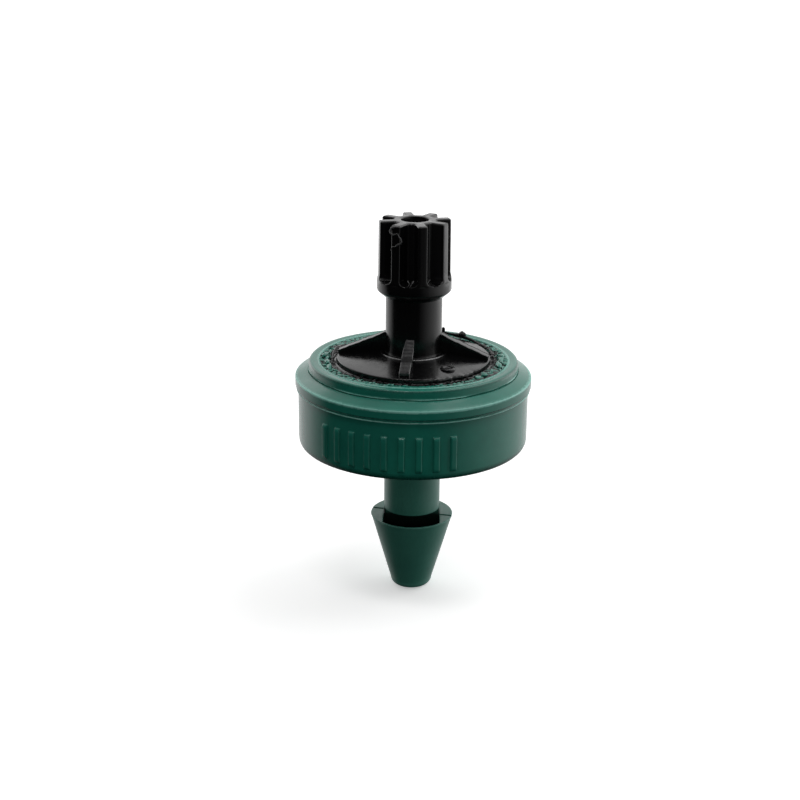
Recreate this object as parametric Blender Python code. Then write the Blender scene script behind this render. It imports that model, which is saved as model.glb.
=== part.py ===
"""Barbed button drip emitter with pressure compensation.

A barbed housing holds a free rubber diaphragm and a labyrinth disc, and a black
cover with a fluted outlet nose closes it.

Frame: metres, Z is the turning axis and +Z points towards the outlet.  The origin
is on the axis at the housing's underside, where the stem leaves it.  Front is -Y.
"""
import math

import bmesh
import bpy
from mathutils import Matrix, Vector

MM = 0.001

# ---- driving dimensions, millimetres ---------------------------------------
SEGMENTS = 72                 # facets round each turned piece
HEIGHT_ABOVE = 15.35          # outlet end above the housing's underside
DEPTH_BELOW = 10.65           # barb tip below it: 26 mm over all

STEM_R = 1.92
BARB_R = 2.80                 # shoulder of the barb
BARB_TIP_R = 1.49             # cone's radius where its tip rounding starts
BARB_SHOULDER_Z = -5.30
TIP_ROUND = 0.48
INLET_R = 1.10                # bore up the stem
INLET_WEB = 0.70              # web that joins barb and stem between the two inlets
INLET_TOP_Z = -4.85           # underside of the stem over each inlet
INLET_FLOOR_Z = -6.60
INLET_LIP = 0.17              # wall of the cone in front of each inlet
INLET_TURN = math.radians(6)  # the mouldings meet at no set angle when they are spun together

WALL_R = 7.75
FLANGE_R = 7.95
RING_R = 7.03                 # outside of the raised mouth ring
MOUTH_R = 6.22                # inside of the ring
RING_TOP_Z = 5.90
SHOULDER_Z = 5.21             # foot of the ring
FLANGE_TOP_Z = 4.81
FLANGE_FOOT_Z = 4.23
WALL_TOP_Z = 3.94
WALL_BASE_ROUND = 0.37
RING_TOP_ROUND = 0.31
CHAMBER_R = 5.00              # diaphragm chamber
FLOOR_Z = 1.00
INSERT_BAY_R = 6.00
COVER_LEDGE_Z = 4.80          # ledge that carries the cover

PAD_COUNT = 4                 # pads that hold the diaphragm off the floor
PAD_TOP_Z = 1.30
PAD_SIZE = (1.20, 0.90)       # along and across the radius
PAD_CENTRE_R = 3.40
CLEARANCE = 0.05              # gap between pieces that bear on each other

DIAPHRAGM_R = 4.65
DIAPHRAGM_T = 0.90
DIAPHRAGM_LIFT = 0.30         # free travel up to the seat
DIAPHRAGM_CHAMFER = 0.15
# ledge that carries the labyrinth disc
SEAT_LEDGE_Z = PAD_TOP_Z + CLEARANCE + DIAPHRAGM_T + DIAPHRAGM_LIFT

DISC_R = 5.92
DISC_TOP_Z = 4.75
DISC_CHAMFER = 0.12
REGULATOR_R = 2.60            # recess in the disc's underside round the seat
REGULATOR_DEPTH = 0.50
SEAT_R = 1.40
DUCT_R = 0.90                 # duct through disc, cover and nose
CHANNEL_R = 4.35              # mean radius of the labyrinth channel
CHANNEL_HALF = 0.62
CHANNEL_DEPTH = 0.75
CHANNEL_TEETH = 22
TOOTH_SWING = 0.26            # how far the channel swings to either side
CHANNEL_SPAN = math.radians(312)
CHANNEL_START = math.pi / 2 + (math.tau - CHANNEL_SPAN) / 2
PASSAGE_W = 0.60              # way from the channel's end down to the regulator
DROP_R = 2.20                 # where that way goes down

COVER_R = 6.14                # cover's hidden rim
COVER_RIM_TOP_Z = 5.72
FACE_R = 5.15                 # visible disc
FACE_EDGE_Z = 6.05
FACE_CENTRE_Z = 6.42
NECK_R = 1.88
COLLAR_R = 2.47
COLLAR_FOOT_Z = 10.20
COLLAR_LOW_Z = 10.65
COLLAR_TOP_Z = 11.36
LOBE_COUNT = 8
LOBE_R = 2.38
LOBE_CORE_R = 1.42
LOBE_HALF = 0.32
LOBE_TURN = math.radians(-2.5)  # lobes against ribs
LOBE_ROUND = 0.10
RIB_COUNT = 4
RIB_T = 0.70
RIB_TOP_Z = 7.68
RIB_FOOT_R = 4.80
RIB_FOOT_HEIGHT = 0.12        # rib's end above the face's edge
OVERCUT = 1.00                # how far cutting tools run past what they cut


# ---- helpers ----------------------------------------------------------------
def clear_scene():
    """Remove every object the file opened with."""
    for obj in list(bpy.data.objects):
        bpy.data.objects.remove(obj, do_unlink=True)


def material(name, colour, roughness):
    """Plain Principled finish."""
    mat = bpy.data.materials.new(name)
    mat.use_nodes = True
    shader = mat.node_tree.nodes["Principled BSDF"]
    shader.inputs["Base Color"].default_value = (*colour, 1.0)
    shader.inputs["Roughness"].default_value = roughness
    shader.inputs["Metallic"].default_value = 0.0
    return mat


def finish_mesh(name, bm, mat=None):
    """Turn a bmesh in millimetres into a linked object in metres."""
    bmesh.ops.remove_doubles(bm, verts=bm.verts, dist=1e-5)
    bmesh.ops.recalc_face_normals(bm, faces=bm.faces)
    bmesh.ops.scale(bm, vec=Vector((MM, MM, MM)), verts=bm.verts)
    mesh = bpy.data.meshes.new(name)
    bm.to_mesh(mesh)
    bm.free()
    mesh.shade_smooth()
    mesh.set_sharp_from_angle(angle=math.radians(35))
    obj = bpy.data.objects.new(name, mesh)
    bpy.context.scene.collection.objects.link(obj)
    if mat:
        mesh.materials.append(mat)
    return obj


def arc(centre_r, centre_z, radius, start, end, steps):
    """Points (r, z) of an arc in the profile plane, angles in degrees."""
    points = []
    for i in range(steps + 1):
        angle = math.radians(start + (end - start) * i / steps)
        points.append((centre_r + radius * math.cos(angle), centre_z + radius * math.sin(angle)))
    return points


def turned(name, profile, mat=None, segments=SEGMENTS):
    """Spin a closed (r, z) outline about Z; points at r = 0 close on the axis."""
    bm = bmesh.new()
    verts = [bm.verts.new((r, 0.0, z)) for r, z in profile]
    edges = [bm.edges.new((a, b)) for a, b in zip(verts, verts[1:] + verts[:1])
             if a.co.x > 0.0 or b.co.x > 0.0]
    bmesh.ops.spin(bm, geom=verts + edges, cent=(0, 0, 0), axis=(0, 0, 1),
                   angle=math.tau, steps=segments, use_merge=True, use_duplicate=False)
    return finish_mesh(name, bm, mat)


def prism(name, outline, low, high, chamfered=None, mat=None):
    """Extrude an (x, y) outline from low to high; a chamfered top outline ends it."""
    bm = bmesh.new()
    levels = [(outline, low), (outline, high)]
    if chamfered:
        top_outline, step = chamfered
        levels = [(outline, low), (outline, high - step), (top_outline, high)]
    rings = [[bm.verts.new((x, y, z)) for x, y in points] for points, z in levels]
    count = len(outline)
    for lower, upper in zip(rings, rings[1:]):
        for i in range(count):
            j = (i + 1) % count
            bm.faces.new((lower[i], lower[j], upper[j], upper[i]))
    bm.faces.new(list(reversed(rings[0])))
    bm.faces.new(rings[-1])
    return finish_mesh(name, bm, mat)


def block(name, size, centre, angle):
    """Box of full size (x, y, z), turned about Z by angle after it is moved."""
    bm = bmesh.new()
    bmesh.ops.create_cube(bm, size=1.0)
    bmesh.ops.scale(bm, vec=Vector(size), verts=bm.verts)
    bmesh.ops.translate(bm, vec=Vector(centre), verts=bm.verts)
    bmesh.ops.rotate(bm, cent=(0, 0, 0), matrix=Matrix.Rotation(angle, 3, "Z"), verts=bm.verts)
    return finish_mesh(name, bm)


def combine(target, tool, operation):
    """Add an exact Boolean to target; tool is hidden from the model."""
    modifier = target.modifiers.new(tool.name, "BOOLEAN")
    modifier.operation = operation
    modifier.solver = "EXACT"
    modifier.object = tool
    tool.hide_render = True
    tool.display_type = "WIRE"


def polar(radius, angle):
    """(x, y) of a polar point."""
    return radius * math.cos(angle), radius * math.sin(angle)


# ---- housing ------------------------------------------------------------------
def cone_radius(z):
    """Radius of the barb's cone at height z."""
    tip_z = -DEPTH_BELOW + TIP_ROUND
    share = (z - tip_z) / (BARB_SHOULDER_Z - tip_z)
    return BARB_TIP_R + (BARB_R - BARB_TIP_R) * share


def housing(mat):
    """Green moulding: barb, stem, stepped cup and raised mouth ring."""
    tip_centre_r = BARB_TIP_R - TIP_ROUND
    bore_foot_z = INLET_TOP_Z - 0.10
    outline = [(0.0, -DEPTH_BELOW)]
    outline += arc(tip_centre_r, -DEPTH_BELOW + TIP_ROUND, TIP_ROUND, -90, -10, 5)
    outline += [
        (BARB_R, BARB_SHOULDER_Z),
        (STEM_R, BARB_SHOULDER_Z),
        (STEM_R, 0.0),
    ]
    outline += arc(WALL_R - WALL_BASE_ROUND, WALL_BASE_ROUND, WALL_BASE_ROUND, -90, 0, 5)
    outline += [
        (WALL_R, WALL_TOP_Z),
        (FLANGE_R, FLANGE_FOOT_Z),
        (FLANGE_R, FLANGE_TOP_Z),
        (RING_R, SHOULDER_Z),
    ]
    outline += arc(RING_R - RING_TOP_ROUND, RING_TOP_Z - RING_TOP_ROUND, RING_TOP_ROUND, 0, 90, 5)
    outline += [
        (MOUTH_R, RING_TOP_Z),
        (MOUTH_R, COVER_LEDGE_Z),
        (INSERT_BAY_R, COVER_LEDGE_Z),
        (INSERT_BAY_R, SEAT_LEDGE_Z),
        (CHAMBER_R, SEAT_LEDGE_Z),
        (CHAMBER_R, FLOOR_Z),
        (INLET_R, FLOOR_Z),
        (INLET_R, bore_foot_z),
        (0.0, bore_foot_z),
    ]
    body = turned("housing", outline, mat)
    for side in (-1, 1):
        combine(body, inlet_cutter(side), "DIFFERENCE")
    pad_height = PAD_TOP_Z - FLOOR_Z + 0.2
    pad_centre = (PAD_CENTRE_R, 0.0, PAD_TOP_Z - pad_height / 2)
    for k in range(PAD_COUNT):
        angle = math.tau * (k + 0.5) / PAD_COUNT
        combine(body, block(f"pad_tool_{k}", (*PAD_SIZE, pad_height), pad_centre, angle), "UNION")
    return body


def inlet_cutter(side):
    """Stem-wide window into the barb on one side of the web, inside the cone's lip."""
    profile = [
        (0.0, INLET_FLOOR_Z),
        (cone_radius(INLET_FLOOR_Z) - INLET_LIP, INLET_FLOOR_Z),
        (cone_radius(INLET_TOP_Z) - INLET_LIP, INLET_TOP_Z),
        (0.0, INLET_TOP_Z),
    ]
    cutter = turned(f"inlet_tool_{side + 1}", profile, segments=48)
    depth = BARB_R + OVERCUT
    height = INLET_TOP_Z - INLET_FLOOR_Z + 2 * OVERCUT
    middle = (0.0, side * (INLET_WEB + depth) / 2, (INLET_TOP_Z + INLET_FLOOR_Z) / 2)
    window = block(f"inlet_window_{side + 1}", (2 * STEM_R, depth, height), middle, INLET_TURN)
    combine(cutter, window, "INTERSECT")
    return cutter


# ---- diaphragm and labyrinth disc ----------------------------------------------
def diaphragm(mat):
    """Loose silicone disc that regulates the flow."""
    low = PAD_TOP_Z + CLEARANCE
    high = low + DIAPHRAGM_T
    outline = [
        (0.0, low),
        (DIAPHRAGM_R - DIAPHRAGM_CHAMFER, low),
        (DIAPHRAGM_R, low + DIAPHRAGM_CHAMFER),
        (DIAPHRAGM_R, high - DIAPHRAGM_CHAMFER),
        (DIAPHRAGM_R - DIAPHRAGM_CHAMFER, high),
        (0.0, high),
    ]
    return turned("diaphragm", outline, mat)


def channel_outline():
    """Zigzag channel: both walls carry teeth, and each tooth faces a gap."""
    outer = []
    inner = []
    half_steps = 2 * CHANNEL_TEETH
    for i in range(half_steps + 1):
        angle = CHANNEL_START + CHANNEL_SPAN * i / half_steps
        swing = TOOTH_SWING if i % 2 else -TOOTH_SWING
        outer.append(polar(CHANNEL_R + CHANNEL_HALF + swing, angle))
        inner.append(polar(CHANNEL_R - CHANNEL_HALF + swing, angle))
    return outer + inner[::-1]


def labyrinth_disc(mat):
    """Insert with the toothed channel on top and the regulator seat below."""
    low = SEAT_LEDGE_Z + CLEARANCE
    roof = low + REGULATOR_DEPTH
    outline = [
        (DUCT_R, low + CLEARANCE),
        (SEAT_R, low + CLEARANCE),
        (SEAT_R, roof),
        (REGULATOR_R, roof),
        (REGULATOR_R, low),
        (DISC_R - DISC_CHAMFER, low),
        (DISC_R, low + DISC_CHAMFER),
        (DISC_R, DISC_TOP_Z - DISC_CHAMFER),
        (DISC_R - DISC_CHAMFER, DISC_TOP_Z),
        (DUCT_R, DISC_TOP_Z),
    ]
    disc = turned("labyrinth_disc", outline, mat)
    channel_floor = DISC_TOP_Z - CHANNEL_DEPTH
    tools = [prism("channel_tool", channel_outline(), channel_floor, DISC_TOP_Z + OVERCUT)]
    end = CHANNEL_START + CHANNEL_SPAN - 0.10
    height = DISC_TOP_Z - low + 2 * OVERCUT
    middle_z = (DISC_TOP_Z + low) / 2
    tools.append(block("gate_tool", (1.6, 0.7, height), (DISC_R, 0.0, middle_z), CHANNEL_START + 0.10))
    length = CHANNEL_R - DROP_R
    passage = (length, PASSAGE_W, CHANNEL_DEPTH)
    tools.append(block("passage_tool", passage, (DROP_R + length / 2, 0.0, channel_floor + 0.15), end))
    drop_height = channel_floor + 0.30 - low + OVERCUT
    drop = (DROP_R, 0.0, channel_floor + 0.30 - drop_height / 2)
    tools.append(block("drop_tool", (0.5, PASSAGE_W, drop_height), drop, end))
    for tool in tools:
        combine(disc, tool, "DIFFERENCE")
    return disc


# ---- outlet cover ----------------------------------------------------------------
def fluted_outline(shrink):
    """Cross-section of the nose: a core circle with eight straight-sided lobes."""
    core = LOBE_CORE_R - shrink
    tip = LOBE_R - shrink
    shoulder = tip - LOBE_ROUND
    half = LOBE_HALF - shrink * 0.8
    pitch = math.tau / LOBE_COUNT
    root_angle = math.asin(half / core)
    tip_angle = math.asin((half - 0.8 * LOBE_ROUND) / tip)
    side_angle = math.asin(half / shoulder)
    points = []
    for k in range(LOBE_COUNT):
        axis = pitch * (k + 0.5) + LOBE_TURN
        points.append(polar(core, axis - root_angle))
        points.append(polar(shoulder, axis - side_angle))
        points.append(polar(tip, axis - tip_angle))
        points.append(polar(tip, axis))
        points.append(polar(tip, axis + tip_angle))
        points.append(polar(shoulder, axis + side_angle))
        points.append(polar(core, axis + root_angle))
        points.append(polar(core, axis + pitch / 2))
    return points


def rib_tool(index):
    """Triangular web from the neck down to the cover's face."""
    angle = math.tau * index / RIB_COUNT
    buried_r = (NECK_R + DUCT_R) / 2
    buried_z = COVER_RIM_TOP_Z + 0.08
    side = [
        (buried_r, buried_z),
        (RIB_FOOT_R, buried_z),
        (RIB_FOOT_R, FACE_EDGE_Z + RIB_FOOT_HEIGHT),
        (NECK_R, RIB_TOP_Z),
        (buried_r, RIB_TOP_Z),
    ]
    bm = bmesh.new()
    faces = []
    for y in (-RIB_T / 2, RIB_T / 2):
        faces.append([bm.verts.new((r, y, z)) for r, z in side])
    bm.faces.new(faces[0])
    bm.faces.new(faces[1][::-1])
    for i in range(len(side)):
        j = (i + 1) % len(side)
        bm.faces.new((faces[0][i], faces[1][i], faces[1][j], faces[0][j]))
    bmesh.ops.rotate(bm, cent=(0, 0, 0), matrix=Matrix.Rotation(angle, 3, "Z"), verts=bm.verts)
    return finish_mesh(f"rib_tool_{index}", bm)


def outlet_cover(mat):
    """Black moulding: rim, crowned face, four ribs, neck, collar and fluted nose."""
    low = COVER_LEDGE_Z + CLEARANCE
    outline = [
        (0.0, low),
        (COVER_R, low),
        (COVER_R, COVER_RIM_TOP_Z),
        (FACE_R, COVER_RIM_TOP_Z),
        (FACE_R, FACE_EDGE_Z),
        (NECK_R, FACE_CENTRE_Z),
        (NECK_R, COLLAR_FOOT_Z),
        (COLLAR_R, COLLAR_LOW_Z),
        (COLLAR_R, COLLAR_TOP_Z),
        (0.0, COLLAR_TOP_Z),
    ]
    cover = turned("outlet_cover", outline, mat)
    for k in range(RIB_COUNT):
        combine(cover, rib_tool(k), "UNION")
    nose = prism("nose_tool", fluted_outline(0.0), COLLAR_LOW_Z, HEIGHT_ABOVE,
                 chamfered=(fluted_outline(LOBE_ROUND), LOBE_ROUND))
    combine(cover, nose, "UNION")
    duct_outline = [
        (0.0, low - OVERCUT),
        (DUCT_R, low - OVERCUT),
        (DUCT_R, HEIGHT_ABOVE + OVERCUT),
        (0.0, HEIGHT_ABOVE + OVERCUT),
    ]
    combine(cover, turned("duct_tool", duct_outline, segments=40), "DIFFERENCE")
    return cover


def build():
    """Make the four pieces in their assembled places."""
    clear_scene()
    housing(material("green_polypropylene", (0.015, 0.115, 0.085), 0.38))
    diaphragm(material("clear_silicone", (0.62, 0.60, 0.56), 0.45))
    labyrinth_disc(material("natural_polypropylene", (0.045, 0.045, 0.05), 0.45))
    outlet_cover(material("black_polypropylene", (0.012, 0.012, 0.013), 0.35))


build()
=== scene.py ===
"""Looks of a barbed button drip emitter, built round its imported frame.

Every surface is worked out with numpy in millimetres and scaled to metres once, when
its mesh is written.  Z is the turning axis, +Z points to the outlet, the front is -Y.
"""
import math

import bmesh
import bpy
import numpy as np
from mathutils import Euler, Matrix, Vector


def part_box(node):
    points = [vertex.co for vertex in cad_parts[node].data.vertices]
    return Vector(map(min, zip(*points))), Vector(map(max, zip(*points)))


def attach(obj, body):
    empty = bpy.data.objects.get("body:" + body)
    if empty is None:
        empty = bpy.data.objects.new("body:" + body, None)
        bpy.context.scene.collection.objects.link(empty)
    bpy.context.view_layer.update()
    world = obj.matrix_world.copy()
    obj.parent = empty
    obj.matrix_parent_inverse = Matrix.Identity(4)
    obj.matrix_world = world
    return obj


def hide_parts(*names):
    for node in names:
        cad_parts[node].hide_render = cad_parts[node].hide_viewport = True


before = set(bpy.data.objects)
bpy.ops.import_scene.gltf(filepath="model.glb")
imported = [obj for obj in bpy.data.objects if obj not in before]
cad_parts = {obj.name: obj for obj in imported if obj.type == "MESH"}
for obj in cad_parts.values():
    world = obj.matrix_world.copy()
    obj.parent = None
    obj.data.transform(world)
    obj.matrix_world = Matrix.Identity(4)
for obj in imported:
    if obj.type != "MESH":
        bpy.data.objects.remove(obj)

MM = 0.001
TAU = math.tau
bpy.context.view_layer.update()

# ---- sizes from the frame, millimetres ---------------------------------------
housing_low, housing_high = (np.array(corner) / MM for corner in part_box("housing"))
cover_low, cover_high = (np.array(corner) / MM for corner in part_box("outlet_cover"))
TIP_Z = housing_low[2]
RING_TOP_Z = housing_high[2]
FLANGE_R = housing_high[0]
COVER_FOOT_Z = cover_low[2]
COVER_R = cover_high[0]
NOSE_TOP_Z = cover_high[2]

# ---- sizes of the mouldings, millimetres ---------------------------------------
STEM_R = 1.92
INLET_R = 1.10
STEM_END_Z = -4.85
SHOULDER_Z = -5.30
BARB_R = 2.82
TIP_R = 1.43
TIP_ROUND = 0.54
POCKET_FLOOR_Z = -6.60
POCKET_LIP = 0.16
WEB_HALF = 0.35
PARTING_X = 0.05
PARTING_WIDTH = 0.035
PARTING_DEPTH = 0.12
PARTING_STEP = 0.03
PARTING_RIDGE = 0.012
WALL_R = 7.75
WALL_TOP_Z = 3.94
RING_R = 7.03
RING_FOOT_Z = 5.21
FLANGE_TOP_Z = 4.81
MOUTH_R = 6.22
COVER_LEDGE_Z = 4.80
INSERT_BAY_R = 6.0
SEAT_LEDGE_Z = 2.55
CHAMBER_R = 5.0
CHAMBER_FLOOR_Z = 1.0
FACE_R = 5.15
FACE_EDGE_Z = 6.05
FACE_CENTRE_Z = 6.42
NECK_R = 1.88
DUCT_R = 0.90
COLLAR_R = 2.47
COLLAR_FOOT_Z = 10.20
COLLAR_LOW_Z = 10.66
LEDGE_Z = 11.36
LOBES = 8
LOBE_R = 2.38
LOBE_CORE_R = 1.42
LOBE_HALF = 0.32
LOBE_TURN = math.radians(-2.5)
INLET_TURN = math.radians(6.0)
FRONT_TURN = math.radians(-6.5)
WELD_R = 5.56
WELD_BEAD_R = 5.58
WELD_FOOT_Z = 5.60
RIBS = 4
RIB_TOP_Z = 7.68
RIB_FOOT_R = 5.05

# ---- camera fit -------------------------------------------------------------------
VIEW_AZIMUTH = math.radians(7.5)
VIEW_ELEVATION = math.radians(19.0)
VIEW_DISTANCE = 103.8
VIEW_TARGET_Z = 2.885
VIEW_ROLL = math.radians(0.5)
VIEW_SHIFT = 0.8746
LENS = 68.9
SENSOR = 36.0
CLIP_NEAR = 0.005
CLIP_FAR = 10.0


# =============================== mesh helpers ===============================
def rounded_path(corners, arc_points=5, side_points=2, closed=True):
    """Path through corners (a, b, round) in a plane, with a quadratic curve at each corner.

    A corner's curve runs from round before it to round after it: (1-s)^2 P + 2s(1-s) C
    + s^2 Q.  Returns the points and, for each, how strongly the path bends there:
    plus on an outer edge, minus in an inner corner, nought on the flats.
    """
    table = np.array([(*corner, 0.0)[:3] for corner in corners], float)
    at, rounding = table[:, :2], table[:, 2]
    to_last = np.roll(at, 1, axis=0) - at
    to_next = np.roll(at, -1, axis=0) - at
    last_length = np.linalg.norm(to_last, axis=1)
    next_length = np.linalg.norm(to_next, axis=1)
    reach = np.minimum(rounding, 0.48 * np.minimum(last_length, next_length))
    to_last /= last_length[:, None]
    to_next /= next_length[:, None]
    turn = to_last[:, 0] * to_next[:, 1] - to_last[:, 1] * to_next[:, 0]
    start = at + to_last * reach[:, None]
    end = at + to_next * reach[:, None]
    s = np.linspace(0.0, 1.0, arc_points)[None, :, None]
    arcs = (1 - s) ** 2 * start[:, None] + 2 * s * (1 - s) * at[:, None] + s ** 2 * end[:, None]
    bends = np.sin(math.pi * s[..., 0]) * turn[:, None]
    k = np.arange(1, side_points + 1)[None, :, None] / (side_points + 1)
    sides = end[:, None] * (1 - k) + np.roll(start, -1, axis=0)[:, None] * k
    points = np.concatenate([arcs, sides], axis=1).reshape(-1, 2)
    bend = np.concatenate([bends, np.zeros(sides.shape[:2])], axis=1).ravel()
    if not closed:
        points, bend = points[:-side_points or None], bend[:-side_points or None]
    return points, bend


def grid_faces(rows, cols, wrap_rows):
    """Quads of a rows by cols grid whose columns close on themselves."""
    row = np.arange(rows if wrap_rows else rows - 1)[:, None]
    col = np.arange(cols)[None, :]
    after, beside = (row + 1) % rows, (col + 1) % cols
    quads = [row * cols + col, row * cols + beside, after * cols + beside, after * cols + col]
    return np.stack([np.broadcast_to(q, (row.size, cols)) for q in quads], axis=-1).reshape(-1, 4)


def enclosed(points, faces):
    """Signed volume of a closed shell: the sum of p . (q x r) / 6 over its triangles."""
    a, b, c, d = (points[faces[:, i]] for i in range(4))
    return (np.einsum("ij,ij->i", a, np.cross(b, c)) + np.einsum("ij,ij->i", a, np.cross(c, d))).sum() / 6


def shell(grid, edge=None, wrap_rows=False):
    """A closed shell (points, faces, edge value) from a grid of points, faces outwards."""
    rows, cols = grid.shape[:2]
    points = grid.reshape(-1, 3)
    faces = grid_faces(rows, cols, wrap_rows)
    if enclosed(points, faces) < 0:
        faces = faces[:, ::-1]
    values = np.zeros(len(points)) if edge is None else np.broadcast_to(edge, (rows, cols)).ravel()
    return points, faces, values


def piece(name, shells, material, body="housing", crease=38.0):
    """Write shells into one mesh object, in metres, and let it ride on its body."""
    points, faces, edges, base = [], [], [], 0
    for some_points, some_faces, some_edges in shells:
        points.append(some_points)
        faces.append(some_faces + base)
        edges.append(some_edges)
        base += len(some_points)
    points, faces, edges = np.concatenate(points) * MM, np.concatenate(faces), np.concatenate(edges)
    mesh = bpy.data.meshes.new(name)
    mesh.vertices.add(len(points))
    mesh.vertices.foreach_set("co", points.astype(np.float32).ravel())
    mesh.loops.add(faces.size)
    mesh.loops.foreach_set("vertex_index", faces.astype(np.int32).ravel())
    mesh.polygons.add(len(faces))
    mesh.polygons.foreach_set("loop_start", np.arange(0, faces.size, 4, dtype=np.int32))
    mesh.update(calc_edges=True)
    mesh.attributes.new("edge", "FLOAT", "POINT").data.foreach_set("value", edges.astype(np.float32))
    close_seams(mesh)
    mesh.shade_smooth()
    mesh.set_sharp_from_angle(angle=math.radians(crease))
    obj = bpy.data.objects.new(name, mesh)
    bpy.context.scene.collection.objects.link(obj)
    mesh.materials.append(material)
    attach(obj, body)
    return obj


def close_seams(mesh):
    """Merge points that coincide, such as a pole's, and drop the faces that vanish."""
    bm = bmesh.new()
    bm.from_mesh(mesh)
    bmesh.ops.remove_doubles(bm, verts=bm.verts, dist=2e-8)
    bmesh.ops.dissolve_degenerate(bm, dist=1e-9, edges=bm.edges)
    bm.to_mesh(mesh)
    bm.free()


def around(count):
    """Evenly spaced angles of a full turn."""
    return np.arange(count) * TAU / count


def lathe(corners, angles, arc_points=6, side_points=3, closed=True, shift=None):
    """Turned shell: the profile (r, z) at each angle t gives (r cos t, r sin t, z).

    shift(t, r, z) may add a small change to r and z, so the turning isn't perfect.
    """
    profile, bend = rounded_path(corners, arc_points, side_points, closed)
    t = angles[None, :]
    r = np.repeat(profile[:, :1], len(angles), axis=1)
    z = np.repeat(profile[:, 1:], len(angles), axis=1)
    if shift:
        r_change, z_change = shift(t, r, z)
        r, z = r + r_change, z + z_change
    grid = np.stack([r * np.cos(t), r * np.sin(t), z], axis=-1)
    return shell(grid, bend[:, None], wrap_rows=closed)


def ripple(t, waves, seed):
    """Smooth random function of the angle: a sum of waves (count per turn, height)."""
    random = np.random.default_rng(seed)
    total = np.zeros(np.broadcast(t, 0.0).shape)
    for count, height in waves:
        total = total + height * np.sin(count * t + random.uniform(0, TAU))
    return total


# ================================= materials =================================
def node(tree, kind, inputs=(), **settings):
    """Add a node, set its properties, then link or set the inputs given by name."""
    made = tree.nodes.new(kind)
    for key, value in settings.items():
        setattr(made, key, value)
    for key, value in dict(inputs).items():
        if isinstance(value, bpy.types.NodeSocket):
            tree.links.new(value, made.inputs[key])
        else:
            made.inputs[key].default_value = value
    return made


def new_group(name, inputs, outputs):
    """Empty shader group with (name, socket type, default) inputs and (name, type) outputs."""
    group = bpy.data.node_groups.new(name, "ShaderNodeTree")
    for label, kind, default in inputs:
        made = group.interface.new_socket(label, in_out="INPUT", socket_type=kind)
        if default is not None:
            made.default_value = default
    for label, kind in outputs:
        group.interface.new_socket(label, in_out="OUTPUT", socket_type=kind)
    return group, group.nodes.new("NodeGroupInput"), group.nodes.new("NodeGroupOutput")


def ramp(tree, value, stops):
    """Colour ramp between (position, grey or colour) stops."""
    made = node(tree, "ShaderNodeValToRGB", {"Fac": value})
    elements = made.color_ramp.elements
    while len(elements) < len(stops):
        elements.new(0.5)
    for element, (position, colour) in zip(elements, stops):
        element.position = position
        element.color = (colour, colour, colour, 1.0) if isinstance(colour, float) else (*colour, 1.0)
    return made.outputs["Color"]


def math_node(tree, operation, a, b=0.0, clamp=False):
    """One arithmetic step on two values."""
    made = tree.nodes.new("ShaderNodeMath")
    made.operation = operation
    made.use_clamp = clamp
    for slot_index, value in enumerate((a, b)):
        if isinstance(value, bpy.types.NodeSocket):
            tree.links.new(value, made.inputs[slot_index])
        else:
            made.inputs[slot_index].default_value = value
    return made.outputs["Value"]


def mix_colour(tree, factor, a, b, blend="MIX"):
    """Mix two colours by a factor."""
    made = tree.nodes.new("ShaderNodeMix")
    made.data_type = "RGBA"
    made.blend_type = blend
    for key, value in (("Factor", factor), ("A", a), ("B", b)):
        socket = next(s for s in made.inputs if s.name == key and s.enabled)
        if isinstance(value, bpy.types.NodeSocket):
            tree.links.new(value, socket)
        else:
            socket.default_value = value if key == "Factor" else (*value, 1.0)
    return next(s for s in made.outputs if s.enabled)


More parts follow.
